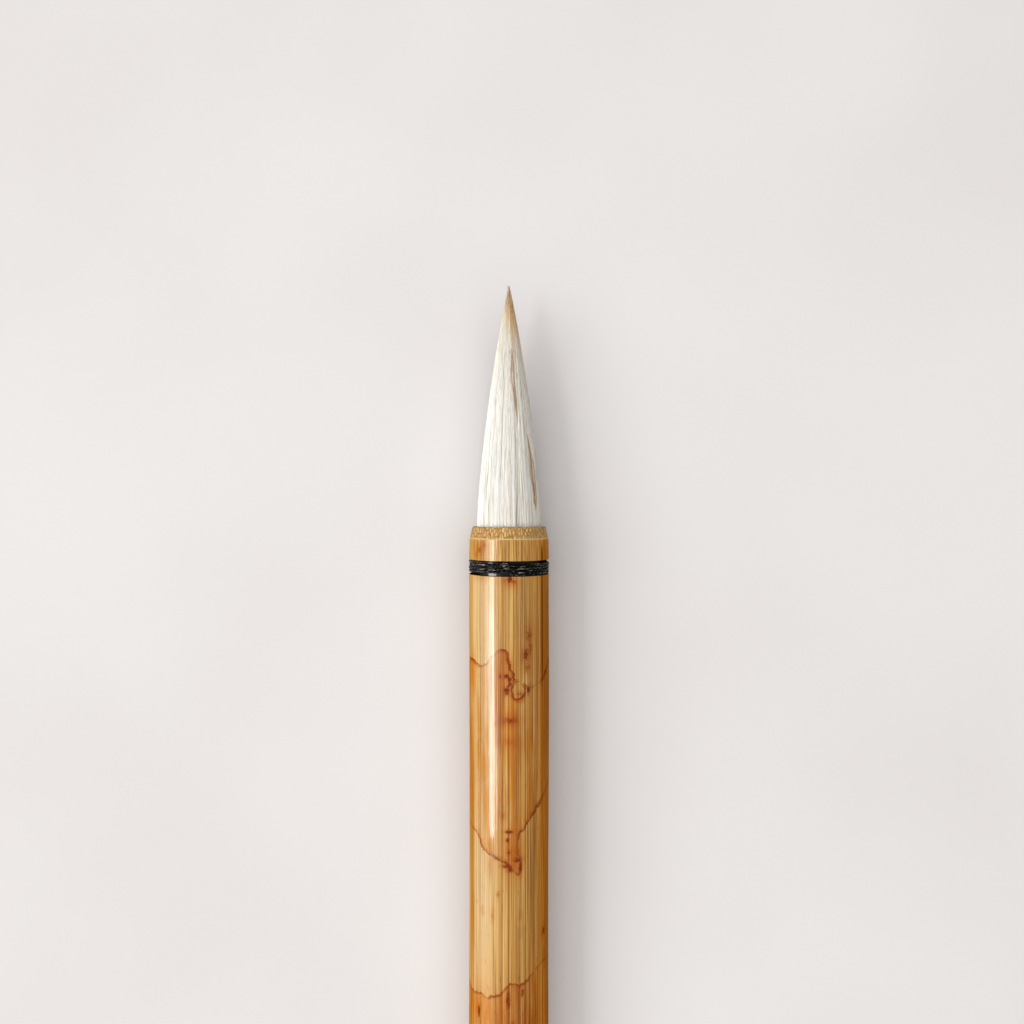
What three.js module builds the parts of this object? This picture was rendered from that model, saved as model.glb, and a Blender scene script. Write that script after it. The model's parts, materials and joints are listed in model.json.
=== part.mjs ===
// A bamboo calligraphy brush with a goat hair tuft. Millimetres.
// It lies on its side along Y with the tip towards +Y, and rests on z = 0.
// Lengths along the brush are measured from the mouth, the end of the handle that the hair comes
// out of: the tuft is ahead of it (y > 0), the handle behind it (y < 0).
import * as THREE from "three";

// Handle: one length of bamboo, chamfered at the mouth and grooved for the thread.
const HANDLE_RADIUS = 5.5;
const HANDLE_LENGTH = 195;
const MOUTH_RADIUS = 4.95;
const CHAMFER_LENGTH = 1.6;
const TAIL_EDGE = 0.5;
const PITH_RADIUS = 2.4;

// The socket that is reamed into the mouth to take the hair's root.
const SOCKET_RADIUS = 4.45;
const SOCKET_DEPTH = 12;

// Black thread wound in a groove behind the mouth.
const THREAD_DIAMETER = 0.36;
const THREAD_PITCH = 0.38;
const THREAD_TURNS = 4;
const THREAD_CENTRE = 5.5;
const GROOVE_DEPTH = 0.5;
const GROOVE_LENGTH = 2;

// Tuft: a pointed bundle whose outline is radius * (1 - t^TAPER_START)^TAPER_END, t from mouth to tip.
const TUFT_LENGTH = 33.4;
const TUFT_RADIUS = 4.25;
const TAPER_START = 1.35;
const TAPER_END = 0.9;

// The tuft swings about a point a little ahead of the mouth. Its base is a ball round that point,
// and the root in the socket is hollowed to clear it.
const PIVOT_AHEAD = 2;
const SWING_GAP = 0.3;
const LAYER_GAP = 0.3;

// Layers of the tuft, from the outside in.
const COVER_INNER = { radius: 3.4, length: 30 };
const BELLY_OUTER = { radius: 3.1, length: 24 };
const BELLY_END = 15;
const CORE = { radius: 1.8, length: 29 };

// The bundle's root in the socket, with its tie, its resin seal and the ring of glue.
const ROOT_RADIUS = 3.85;
const ROOT_FRONT = 1.5;
const ROOT_BACK = 10.2;
const ROOT_WAIST_RADIUS = 3.3;
const ROOT_WAIST_FRONT = 7.1;
const ROOT_WAIST_BACK = 9;
const TIE_DIAMETER = 0.4;
const TIE_PITCH = 0.45;
const TIE_TURNS = 3;
const GLUE_INNER = 4.02;
const GLUE_OUTER = 4.3;
const GLUE_FRONT = 2.5;
const GLUE_BACK = 9.6;
const RESIN_FRONT = 10.45;
const RESIN_BACK = 11.7;

// Turned plug that closes the tail, with a hole for a hanging loop.
const PLUG_STEM_RADIUS = 2.2;
const PLUG_STEM_LENGTH = 10;
const PLUG_HEAD_RADIUS = 4.2;
const PLUG_HEAD_LENGTH = 3.2;
const PLUG_FACE_RADIUS = 2.6;
const PLUG_HOLE_RADIUS = 0.75;
const PLUG_SEAT_GAP = 0.2;

const HANDLE_SEGMENTS = 32;
const ROUND_SEGMENTS = 24;
const OUTLINE_STEPS = 11;
const ARC_STEPS = 5;
const STEPS_PER_TURN = 22;
const THREAD_SIDES = 6;

const OVERALL_LENGTH = TUFT_LENGTH + HANDLE_LENGTH + PLUG_SEAT_GAP + PLUG_HEAD_LENGTH;

const point = (radius, y) => new THREE.Vector2(radius, y);

// A solid of revolution about Y, with a flat facet facing each of +X, -X, +Z and -Z.
// `across` scales the radii so that the facets, not the corners, lie at the stated radius.
function turned(profile, segments) {
  const across = 1 / Math.cos(Math.PI / segments);
  const points = profile.map((p) => point(p.x * across, p.y));
  return new THREE.LatheGeometry(points, segments, Math.PI / segments, 2 * Math.PI);
}

// A profile that doesn't touch the axis closes on itself.
const ring = (profile) => [...profile, profile[0].clone()];

class Winding extends THREE.Curve {
  constructor(radius, pitch, turns, centre) {
    super();
    Object.assign(this, { radius, pitch, turns, centre });
  }

  getPoint(t, target = new THREE.Vector3()) {
    const turn = (t - 0.5) * this.turns;
    const angle = 2 * Math.PI * turn;
    return target.set(
      this.radius * Math.cos(angle),
      this.centre + this.pitch * turn,
      this.radius * Math.sin(angle),
    );
  }
}

// Thread wound round the axis: a round section swept along a helix.
function wound({ diameter, pitch, turns, radius, centre }) {
  const section = new THREE.Shape();
  section.absarc(0, 0, diameter / 2, 0, 2 * Math.PI, false);
  return new THREE.ExtrudeGeometry(section, {
    steps: turns * STEPS_PER_TURN,
    curveSegments: THREAD_SIDES / 2,
    bevelEnabled: false,
    extrudePath: new Winding(radius, pitch, turns, centre),
  });
}

function layerRadius(layer, y) {
  const t = Math.max(0, y) / layer.length;
  return layer.radius * Math.pow(1 - Math.pow(t, TAPER_START), TAPER_END);
}

// Points of a layer's outline from y = `from` to y = `to`, closer together towards `to`.
function outline(layer, from, to, widen = 0) {
  const points = [];
  for (let i = 0; i <= OUTLINE_STEPS; i++) {
    const eased = Math.sin((i / OUTLINE_STEPS) * (Math.PI / 2));
    const y = from + (to - from) * eased;
    points.push(point(layerRadius(layer, y) + widen, y));
  }
  return points;
}

const TUFT = { radius: TUFT_RADIUS, length: TUFT_LENGTH };
const BALL_RADIUS = layerRadius(TUFT, PIVOT_AHEAD);

// The back of a ball about the pivot, at a distance `radius` from the axis.
const ballBack = (ball, radius) => PIVOT_AHEAD - Math.sqrt(ball * ball - radius * radius);

function ballArc(ball, fromRadius, toRadius) {
  const points = [];
  for (let i = 0; i <= ARC_STEPS; i++) {
    const radius = fromRadius + ((toRadius - fromRadius) * i) / ARC_STEPS;
    points.push(point(radius, ballBack(ball, radius)));
  }
  return points;
}

function handleTube() {
  const grooveFront = GROOVE_LENGTH / 2 - THREAD_CENTRE;
  const grooveBack = grooveFront - GROOVE_LENGTH;
  const grooveRadius = HANDLE_RADIUS - GROOVE_DEPTH;
  return turned(
    ring([
      point(PITH_RADIUS, -HANDLE_LENGTH),
      point(HANDLE_RADIUS - TAIL_EDGE, -HANDLE_LENGTH),
      point(HANDLE_RADIUS, TAIL_EDGE - HANDLE_LENGTH),
      point(HANDLE_RADIUS, grooveBack),
      point(grooveRadius, grooveBack),
      point(grooveRadius, grooveFront),
      point(HANDLE_RADIUS, grooveFront),
      point(HANDLE_RADIUS, -CHAMFER_LENGTH),
      point(MOUTH_RADIUS, 0),
      point(SOCKET_RADIUS, 0),
      point(SOCKET_RADIUS, -SOCKET_DEPTH),
      point(PITH_RADIUS, -SOCKET_DEPTH),
    ]),
    HANDLE_SEGMENTS,
  );
}

// Its outside is level with the bamboo's skin.
function bindingThread() {
  return wound({
    diameter: THREAD_DIAMETER,
    pitch: THREAD_PITCH,
    turns: THREAD_TURNS,
    radius: HANDLE_RADIUS - THREAD_DIAMETER / 2,
    centre: -THREAD_CENTRE,
  });
}

function tailPlug() {
  const seat = -HANDLE_LENGTH - PLUG_SEAT_GAP;
  const dome = [];
  for (let i = 0; i <= ARC_STEPS; i++) {
    const angle = (i / ARC_STEPS) * (Math.PI / 2);
    const reach = PLUG_HEAD_RADIUS - PLUG_FACE_RADIUS;
    const radius = PLUG_FACE_RADIUS + reach * Math.sin(angle);
    dome.push(point(radius, seat - PLUG_HEAD_LENGTH * Math.cos(angle)));
  }
  return turned(
    ring([
      point(PLUG_HOLE_RADIUS, seat - PLUG_HEAD_LENGTH),
      ...dome,
      point(PLUG_STEM_RADIUS, seat),
      point(PLUG_STEM_RADIUS, seat + PLUG_STEM_LENGTH),
      point(PLUG_HOLE_RADIUS, seat + PLUG_STEM_LENGTH),
    ]),
    ROUND_SEGMENTS,
  );
}

// The tied root: hollow in front for the ball, with a waist where the tie pulls it in.
function hairRoot() {
  const cup = BALL_RADIUS + SWING_GAP;
  const pivotToFront = PIVOT_AHEAD + ROOT_FRONT;
  const cupRadius = Math.sqrt(cup * cup - pivotToFront * pivotToFront);
  return turned(
    [
      point(0, -ROOT_BACK),
      point(ROOT_RADIUS, -ROOT_BACK),
      point(ROOT_RADIUS, -ROOT_WAIST_BACK),
      point(ROOT_WAIST_RADIUS, -ROOT_WAIST_BACK),
      point(ROOT_WAIST_RADIUS, -ROOT_WAIST_FRONT),
      point(ROOT_RADIUS, -ROOT_WAIST_FRONT),
      point(ROOT_RADIUS, -ROOT_FRONT),
      ...ballArc(cup, cupRadius, 0),
    ],
    ROUND_SEGMENTS,
  );
}

function rootTie() {
  const waist = ROOT_RADIUS - ROOT_WAIST_RADIUS;
  return wound({
    diameter: TIE_DIAMETER,
    pitch: TIE_PITCH,
    turns: TIE_TURNS,
    radius: ROOT_WAIST_RADIUS + waist / 2 + TIE_DIAMETER / 8,
    centre: -(ROOT_WAIST_FRONT + ROOT_WAIST_BACK) / 2,
  });
}

function rootResin() {
  return turned(
    [
      point(0, -RESIN_BACK),
      point(ROOT_RADIUS, -RESIN_BACK),
      point(ROOT_RADIUS, -RESIN_FRONT),
      point(0, -RESIN_FRONT),
    ],
    ROUND_SEGMENTS,
  );
}

function socketGlue() {
  return turned(
    ring([
      point(GLUE_INNER, -GLUE_BACK),
      point(GLUE_OUTER, -GLUE_BACK),
      point(GLUE_OUTER, -GLUE_FRONT),
      point(GLUE_INNER, -GLUE_FRONT),
    ]),
    ROUND_SEGMENTS,
  );
}

// Outer coat of long hair: a hollow point that holds the inner layers.
function coverHair() {
  const cavity = outline(COVER_INNER, 0, COVER_INNER.length).reverse();
  return turned(
    [
      ...cavity,
      ...ballArc(BALL_RADIUS, COVER_INNER.radius, BALL_RADIUS),
      ...outline(TUFT, PIVOT_AHEAD, TUFT_LENGTH).slice(1),
    ],
    ROUND_SEGMENTS,
  );
}

// Shorter hair round the core, which fills out the belly of the tuft.
function bellyHair() {
  const innerRadius = CORE.radius + LAYER_GAP;
  const inside = outline(CORE, 0, BELLY_END, LAYER_GAP).reverse();
  return turned(
    ring([
      ...inside,
      ...ballArc(BALL_RADIUS, innerRadius, BELLY_OUTER.radius),
      ...outline(BELLY_OUTER, 0, BELLY_END),
    ]),
    ROUND_SEGMENTS,
  );
}

function coreHair() {
  return turned(
    [...ballArc(BALL_RADIUS, 0, CORE.radius), ...outline(CORE, 0, CORE.length)],
    ROUND_SEGMENTS,
  );
}

function piece(name, geometry, color, roughness) {
  const material = new THREE.MeshStandardMaterial({ color, roughness, metalness: 0 });
  const mesh = new THREE.Mesh(geometry, material);
  mesh.name = name;
  return mesh;
}

const handle = new THREE.Group();
handle.add(
  piece("handle_tube", handleTube(), 0xc99a5b, 0.35),
  piece("binding_thread", bindingThread(), 0x15171a, 0.45),
  piece("tail_plug", tailPlug(), 0xa9793f, 0.5),
  piece("hair_root", hairRoot(), 0xe9e2d2, 0.85),
  piece("root_tie", rootTie(), 0xd9d0bd, 0.8),
  piece("root_resin", rootResin(), 0x8a4a1c, 0.25),
  piece("socket_glue", socketGlue(), 0xd9c48f, 0.3),
);

const tuft = new THREE.Group();
tuft.position.y = PIVOT_AHEAD;
const layers = [
  piece("cover_hair", coverHair(), 0xf3eee2, 0.75),
  piece("belly_hair", bellyHair(), 0xece4d2, 0.8),
  piece("core_hair", coreHair(), 0xe6dcc4, 0.8),
];
for (const layer of layers) {
  layer.geometry.translate(0, -PIVOT_AHEAD, 0);
  tuft.add(layer);
}

const brush = new THREE.Group();
brush.position.set(0, OVERALL_LENGTH / 2 - TUFT_LENGTH, HANDLE_RADIUS);
brush.add(handle, tuft);

export default brush;
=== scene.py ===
import json
import math

import bpy
import numpy as np
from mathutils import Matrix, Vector


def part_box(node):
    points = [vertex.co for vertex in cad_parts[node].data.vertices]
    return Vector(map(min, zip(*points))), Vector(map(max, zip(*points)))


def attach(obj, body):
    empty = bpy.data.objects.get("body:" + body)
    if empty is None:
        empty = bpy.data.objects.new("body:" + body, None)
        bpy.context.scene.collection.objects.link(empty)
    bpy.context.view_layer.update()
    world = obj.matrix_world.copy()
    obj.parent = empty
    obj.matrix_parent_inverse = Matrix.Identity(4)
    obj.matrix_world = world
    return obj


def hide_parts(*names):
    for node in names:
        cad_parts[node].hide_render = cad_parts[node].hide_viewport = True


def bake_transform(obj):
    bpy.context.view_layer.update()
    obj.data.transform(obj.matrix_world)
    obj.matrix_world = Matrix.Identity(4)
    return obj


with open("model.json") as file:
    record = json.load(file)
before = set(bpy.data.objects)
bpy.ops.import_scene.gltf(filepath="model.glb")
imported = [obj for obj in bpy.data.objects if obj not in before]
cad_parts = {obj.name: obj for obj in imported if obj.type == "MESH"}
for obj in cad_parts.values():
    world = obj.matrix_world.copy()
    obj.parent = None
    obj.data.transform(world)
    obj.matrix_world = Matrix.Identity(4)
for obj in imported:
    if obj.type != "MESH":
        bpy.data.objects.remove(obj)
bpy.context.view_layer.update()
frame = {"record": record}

MM = 0.001
TUBE_LOW, TUBE_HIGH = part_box("handle_tube")
HAIR_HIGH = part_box("cover_hair")[1]
PLUG_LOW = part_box("tail_plug")[0]
MOUTH_CENTRE = np.array([0.0, TUBE_HIGH.y, (TUBE_LOW.z + TUBE_HIGH.z) / 2])
TUBE_RADIUS = (TUBE_HIGH.x - TUBE_LOW.x) / 2 / MM
TUBE_LENGTH = (TUBE_HIGH.y - TUBE_LOW.y) / MM
TUFT_LENGTH = (HAIR_HIGH.y - TUBE_HIGH.y) / MM
PIVOT = Vector(frame["record"]["behaviour"]["joints"][0]["pos_m"])

# The tuft's outline is radius * (1 - t ** TAPER_START) ** TAPER_END, t from the mouth to the tip.
TUFT_RADIUS = 4.4
TAPER_START = 1.35
TAPER_END = 0.9
HAIR_SIDES = 3

# The tube. It is cut back at the mouth, from the edge of its skin to the mouth's own edge.
TAIL = -TUBE_LENGTH
MOUTH_RADIUS = 5.08
SKIN_EDGE_RADIUS = 5.42
CUT_LENGTH = 1.6
SOCKET_RADIUS = 4.48
SOCKET_DEPTH = 12.0
BORE_RADIUS = 2.4
TUBE_COLUMNS = 256

# The groove that the thread is wound in, and how far its edges are broken.
THREAD_CENTRE = 5.5
GROOVE_HALF = 0.98
GROOVE_FRONT = GROOVE_HALF - THREAD_CENTRE
GROOVE_BACK = -GROOVE_HALF - THREAD_CENTRE
GROOVE_RADIUS = 5.14
GROOVE_EDGE = 0.06

# The middle of the thread that ties the hair's root, in mm ahead of the mouth.
TIE_CENTRE = -8.05

# Stains on the bamboo, as (degrees round, mm behind the mouth, darkness of the rim there).
GREAT_STAIN = [
    (-85, 17.8, 0.5), (-64, 17.8, 0.9), (-56, 18.2, 0.7), (-42, 18.4, 0.6), (-32, 17.8, 0.2),
    (-24, 16.9, 0.2), (-17, 16.2, 0.3), (-12, 16.0, 0.9), (-8, 16.2, 1.0), (-4, 16.0, 0.9),
    (0, 17.0, 0.9), (2, 18.2, 1.0), (5, 19.2, 0.9), (9, 20.0, 0.9), (16, 20.5, 0.7),
    (25, 20.8, 0.8), (29, 21.3, 0.6), (38, 20.9, 0.15), (50, 20.6, 0.3), (59, 19.8, 1.0),
    (70, 18.6, 1.0), (85, 17.4, 0.6), (88, 33.6, 0.4), (77, 34.6, 0.5), (61, 35.8, 0.4),
    (50, 36.7, 0.6), (38, 37.7, 0.9), (28, 38.9, 0.8), (20, 39.9, 1.0), (14, 40.5, 0.9),
    (12, 41.4, 0.5), (13, 42.8, 0.5), (16, 44.0, 0.8), (17, 45.2, 0.9), (14, 45.8, 0.6),
    (6, 45.2, 0.3), (0, 44.7, 0.9), (-6, 44.1, 1.0), (-10, 43.7, 0.6), (-18, 43.6, 0.9),
    (-27, 43.4, 0.6), (-36, 43.0, 0.6), (-44, 42.2, 0.7), (-49, 41.3, 0.6), (-58, 40.8, 0.5),
    (-70, 40.6, 0.3), (-85, 40.5, 0.2),
]
LOWER_STAIN = [
    (-88, 61.6, 0.2), (-60, 62.6, 0.5), (-48, 62.2, 0.6), (-40, 61.9, 0.8), (-30, 62.2, 0.4),
    (-20, 61.7, 1.0), (-11, 61.2, 0.7), (-3, 60.2, 0.8), (6, 59.7, 0.7), (14, 60.3, 0.6),
    (22, 60.1, 0.8), (34, 59.0, 0.3), (52, 58.2, 0.3), (88, 58.6, 0.2), (92, 74.0, 0.4),
    (64, 77.0, 0.8), (38, 75.2, 0.6), (12, 79.4, 0.9), (-14, 78.0, 0.7), (-30, 74.6, 0.5),
    (-52, 76.2, 0.8), (-90, 73.0, 0.3),
]
STAINS = [GREAT_STAIN, LOWER_STAIN]
PALE_ISLAND = [
    (5, 20.8, 0.9), (8, 20.3, 0.6), (13, 20.3, 0.5), (19, 20.6, 0.7), (23, 21.3, 0.7),
    (21, 22.2, 0.9), (15, 22.6, 0.9), (8, 22.5, 0.9), (4, 21.8, 0.8),
]

# Dark marks: (degrees round, mm behind the mouth, half width round, half length, darkness).
MARKS = [
    (1, 6.9, 0.26, 0.30, 1.0), (7, 7.2, 0.34, 0.24, 0.45), (-3, 7.0, 0.5, 0.3, 0.3),
    (-37, 2.4, 0.34, 0.42, 0.28), (-46, 3.1, 0.4, 0.4, 0.34), (-53, 3.7, 0.34, 0.5, 0.28),
    (29, 14.3, 0.5, 0.9, 0.36), (24, 16.8, 0.45, 0.8, 0.5), (31, 16.0, 0.3, 1.2, 0.34),
    (26, 18.5, 0.35, 0.5, 0.4), (-12, 19.6, 0.16, 0.18, 0.6), (-3, 19.6, 0.24, 0.16, 1.0),
    (1, 20.0, 0.18, 0.24, 1.0), (2, 20.6, 0.12, 0.2, 0.8), (-1, 20.9, 0.16, 0.16, 0.7),
    (-3, 21.4, 0.26, 0.2, 1.0), (-2, 21.9, 0.3, 0.16, 0.5), (28, 21.5, 0.16, 0.34, 0.8),
    (15, 21.9, 0.3, 0.16, 0.5), (2, 25.4, 0.9, 0.45, 0.42), (0, 28.2, 0.6, 0.4, 0.24),
    (-8, 37.9, 0.22, 0.26, 0.35), (0, 40.0, 0.34, 0.14, 1.0), (-2, 41.1, 0.16, 0.18, 0.8),
    (0, 42.7, 0.16, 0.2, 0.6), (12, 43.7, 0.4, 0.22, 0.8), (16, 44.7, 0.13, 0.5, 1.0),
    (-2, 44.5, 0.5, 0.16, 0.8), (2, 45.0, 0.3, 0.16, 0.8), (-18, 43.6, 0.3, 0.16, 0.6),
    (-28, 44.5, 0.3, 1.0, 0.16), (-23, 51.2, 0.14, 0.5, 0.35), (-15, 48.4, 0.14, 0.2, 0.45),
    (-40, 51.0, 0.14, 0.24, 0.35), (16, 51.0, 0.14, 0.2, 0.4), (16, 53.4, 0.14, 0.16, 0.4),
    (58, 54.4, 0.3, 0.5, 0.5), (-1, 62.2, 0.2, 0.9, 0.7), (-46, 64.6, 0.2, 0.7, 0.6),
    (19, 61.2, 0.16, 0.4, 0.7), (5, 66.0, 0.4, 1.2, 0.4), (-30, 68.0, 0.3, 1.4, 0.4),
    (-30, 67.0, 2.5, 4.0, 0.16), (20, 67.5, 2.5, 4.0, 0.16),
]

# Softer amber patches, in the same form.
AMBER = [
    (-52, 3.2, 0.9, 1.3, 0.4), (52, 2.8, 2.2, 1.6, 0.55), (70, 10.0, 1.6, 9.0, 0.6),
    (3, 19.2, 0.9, 1.8, 0.6), (-64, 19.4, 0.9, 2.0, 0.8), (4, 7.6, 0.8, 0.5, 0.5),
    (7, 42.8, 1.1, 2.4, 1.0), (4, 44.4, 1.0, 0.8, 0.6), (66, 26.0, 1.6, 7.0, 0.6),
    (-8, 17.4, 0.7, 0.8, 0.9), (-2, 18.7, 0.6, 1.0, 0.9), (14, 22.9, 0.9, 0.4, 0.8),
    (-66, 34.0, 0.9, 8.0, 0.8), (-64, 53.0, 0.5, 4.4, 0.8), (66, 58.0, 1.4, 6.0, 0.6),
    (50, 22.6, 1.4, 2.4, 0.5), (-8, 62.6, 1.4, 0.9, 0.5), (-44, 66.0, 1.2, 3.0, 0.6),
]

# Dark fibres: (degrees round, half width in mm, from and to in mm behind the mouth, darkness).
FIBRES = [
    (-44, 0.09, -1, 60, 0.24), (-9, 0.08, -1, 90, 0.3), (12, 0.08, 7, 62, 0.3),
    (22, 0.07, 4, 80, 0.26), (30, 0.08, -1, 40, 0.3), (54, 0.16, 1.8, 24, 0.9),
    (60, 0.12, 56, 62, 0.6), (-27, 0.07, 7, 50, 0.2), (38, 0.08, 8, 62, 0.24),
    (66, 0.12, 8, 34, 0.4),
]


def srgb(red, green, blue):
    """A linear colour from 0 to 255 values."""
    scaled = [value / 255 for value in (red, green, blue)]
    linear = [((v + 0.055) / 1.055) ** 2.4 if v > 0.04 else v / 12.92 for v in scaled]
    return (*linear, 1.0)


def smooth(value, low, high):
    """0 at low and 1 at high, with a smooth step between."""
    t = np.clip((value - low) / (high - low), 0, 1)
    return t * t * (3 - 2 * t)


def on_tube(radius, y, degrees):
    """Points at a distance from the brush's axis."""
    angle = np.radians(degrees)
    radius, y, angle = np.broadcast_arrays(radius, y, angle)
    return np.stack([radius * np.sin(angle), y, radius * np.cos(angle)], -1)


def ripple(rng, degrees, y, waves, most_round, length):
    """A smooth random field round the tube and along it, mostly within -1 to 1."""
    total = np.zeros(np.broadcast(degrees, y).shape)
    for _ in range(waves):
        turns = rng.integers(1, most_round + 1) * rng.choice([-1, 1])
        stretch = length * rng.uniform(0.7, 2.0)
        phase = rng.uniform(0, math.tau)
        total += np.sin(turns * np.radians(degrees) + y / stretch * math.tau + phase)
    return total / math.sqrt(waves)


def new_object(name, points, faces, uv, material, fields=None):
    """A mesh object from points in mm, with its bake layout and per-vertex fields."""
    mesh = bpy.data.meshes.new(name)
    mesh.from_pydata((points * MM + MOUTH_CENTRE).tolist(), [], faces)
    mesh.polygons.foreach_set("use_smooth", np.ones(len(faces), bool))
    layer = mesh.uv_layers.new(name="OFBake")
    layer.data.foreach_set("uv", np.asarray(uv, np.float32).ravel())
    for field, values in (fields or {}).items():
        attribute = mesh.attributes.new(field, "FLOAT", "POINT")
        attribute.data.foreach_set("value", np.asarray(values, np.float32).ravel())
    mesh.validate()
    mesh.materials.append(material)
    made = bpy.data.objects.new(name, mesh)
    bpy.context.collection.objects.link(made)
    return made


def lattice(name, points, material, ring, fields=None, sharp=40):
    """A body of rows of points round the axis.

    The last row of a ring joins its first. The ends of any other body are capped. Faces that meet
    at more than sharp degrees keep a hard edge.
    """
    rows, columns = points.shape[:2]
    spans = rows if ring else rows - 1
    row, column = np.meshgrid(np.arange(spans), np.arange(columns), indexing="ij")
    corners = [(row, column), (row, column + 1), (row + 1, column + 1), (row + 1, column)]
    index = [(i % rows) * columns + j % columns for i, j in corners]
    faces = np.stack(index, -1).reshape(-1, 4).tolist()
    step = np.linalg.norm(np.diff(points[:, 0], axis=0, append=points[:1, 0]), axis=1)
    run = np.concatenate([[0], np.cumsum(step)])
    along = run / run[spans]
    uv = np.stack([np.stack([j / columns, along[i]], -1) for i, j in corners], -2).reshape(-1, 2)
    if not ring:
        last = (rows - 1) * columns
        caps = [list(range(columns))[::-1], list(range(last, last + columns))]
        faces += caps
        turn = np.arange(columns) / columns * math.tau
        disc = np.stack([0.5 + 0.01 * np.cos(turn), 0.5 + 0.01 * np.sin(turn)], -1)
        uv = np.concatenate([uv, disc, disc])
    made = new_object(name, points.reshape(-1, 3), faces, uv, material, fields)
    made.data.set_sharp_from_angle(angle=math.radians(sharp))
    return made


def rows_through(corners, gap):
    """Points along a profile of (y, radius) corners, no further apart than gap."""
    rows = []
    for (y0, r0), (y1, r1) in zip(corners, corners[1:]):
        steps = max(1, math.ceil(math.hypot(y1 - y0, r1 - r0) / gap))
        for i in range(steps):
            t = i / steps
            rows.append((y0 + (y1 - y0) * t, r0 + (r1 - r0) * t))
    return rows + [corners[-1]]


class Look:
    """A node material, with short ways to add nodes to it."""

    def __init__(self, name, **sockets):
        self.material = bpy.data.materials.new(name)
        self.material.use_nodes = True
        self.tree = self.material.node_tree
        self.shader = self.tree.nodes["Principled BSDF"]
        self.place = self.tree.nodes.new("ShaderNodeTexCoord").outputs["Object"]
        self.finish(**sockets)

    def finish(self, **sockets):
        for socket, value in sockets.items():
            self.feed(self.shader.inputs[socket.replace("_", " ")], value)
        return self.material

    def feed(self, socket, value):
        if isinstance(value, bpy.types.NodeSocket):
            self.tree.links.new(value, socket)
        else:
            socket.default_value = value

    def math(self, operation, a, b=0.0, clamp=False):
        node = self.tree.nodes.new("ShaderNodeMath")
        node.operation = operation
        node.use_clamp = clamp
        self.feed(node.inputs[0], a)
        self.feed(node.inputs[1], b)
        return node.outputs[0]

    def stretched(self, across, along):
        """Object coordinates in steps of that many mm across and along the brush."""
        node = self.tree.nodes.new("ShaderNodeMapping")
        self.feed(node.inputs["Vector"], self.place)
        node.inputs["Scale"].default_value = (1 / across / MM, 1 / along / MM, 1 / across / MM)
        return node.outputs[0]

    def noise(self, across, along, detail=2.0, roughness=0.5, warp=0.0):
        """Noise whose features have that size in mm."""
        node = self.tree.nodes.new("ShaderNodeTexNoise")
        self.feed(node.inputs["Vector"], self.stretched(across, along))
        node.inputs["Scale"].default_value = 1.0
        node.inputs["Detail"].default_value = detail
        node.inputs["Roughness"].default_value = roughness
        node.inputs["Distortion"].default_value = warp
        return node.outputs[0]

    def cells(self, across, along, feature):
        """Distances in a Voronoi pattern whose cells have that size in mm."""
        node = self.tree.nodes.new("ShaderNodeTexVoronoi")
        node.feature = feature
        self.feed(node.inputs["Vector"], self.stretched(across, along))
        node.inputs["Scale"].default_value = 1.0
        return node.outputs["Distance"]

    def field(self, name):
        node = self.tree.nodes.new("ShaderNodeAttribute")
        node.attribute_name = name
        return node.outputs["Fac"]

    def between(self, value, low, high, to_low=0.0, to_high=1.0):
        node = self.tree.nodes.new("ShaderNodeMapRange")
        node.interpolation_type = "SMOOTHSTEP"
        for socket, number in zip(node.inputs[1:5], (low, high, to_low, to_high)):
            self.feed(socket, number)
        self.feed(node.inputs[0], value)
        return node.outputs[0]

    def mix(self, factor, a, b, blend="MIX"):
        node = self.tree.nodes.new("ShaderNodeMix")
        node.data_type = "RGBA"
        node.blend_type = blend
        self.feed(node.inputs[0], factor)
        self.feed(node.inputs[6], a)
        self.feed(node.inputs[7], b)
        return node.outputs[2]

    def bump(self, height, depth, normal=None):
        """A relief of that depth in mm."""
        node = self.tree.nodes.new("ShaderNodeBump")
        node.inputs["Distance"].default_value = depth * MM
        self.feed(node.inputs["Height"], height)
        if normal is not None:
            self.feed(node.inputs["Normal"], normal)
        return node.outputs[0]


def fibrous(look, strands, hairline):
    """Honey bamboo with pale and dark fibres that run along it, and a painted glare on its lit left side."""
    broad = look.noise(1.3, 60, 3)
    colour = look.mix(look.between(broad, 0.34, 0.66), srgb(212, 172, 98), srgb(192, 144, 72))
    colour = look.mix(look.between(strands, 0.38, 0.62, 0.0, 0.62), colour, srgb(164, 110, 46))
    pale = look.between(look.noise(0.24, 34, 2), 0.54, 0.68, 0.0, 0.55)
    colour = look.mix(pale, colour, srgb(232, 194, 132))
    line = look.between(hairline, 0.55, 0.64, 0.0, 0.7)
    colour = look.mix(line, colour, srgb(112, 66, 20))
    contour = look.math("ABSOLUTE", look.math("SUBTRACT", look.noise(0.55, 160, 1), 0.5))
    colour = look.mix(look.between(contour, 0.0, 0.03, 0.62, 0.0), colour, srgb(110, 62, 18))
    # Painted reflection: a pale glare, broken by the strands, painted over the left side that faces the
    # lamps.
    painted_glare = look.math("MULTIPLY", look.field("pale"), look.between(strands, 0.35, 0.6, 1.0, 0.6))
    colour = look.mix(painted_glare, colour, srgb(226, 198, 152))
    flecks = look.between(look.noise(0.13, 1.6, 1), 0.66, 0.76, 0.0, 0.4)
    return look.mix(flecks, colour, srgb(110, 62, 26))


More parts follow.
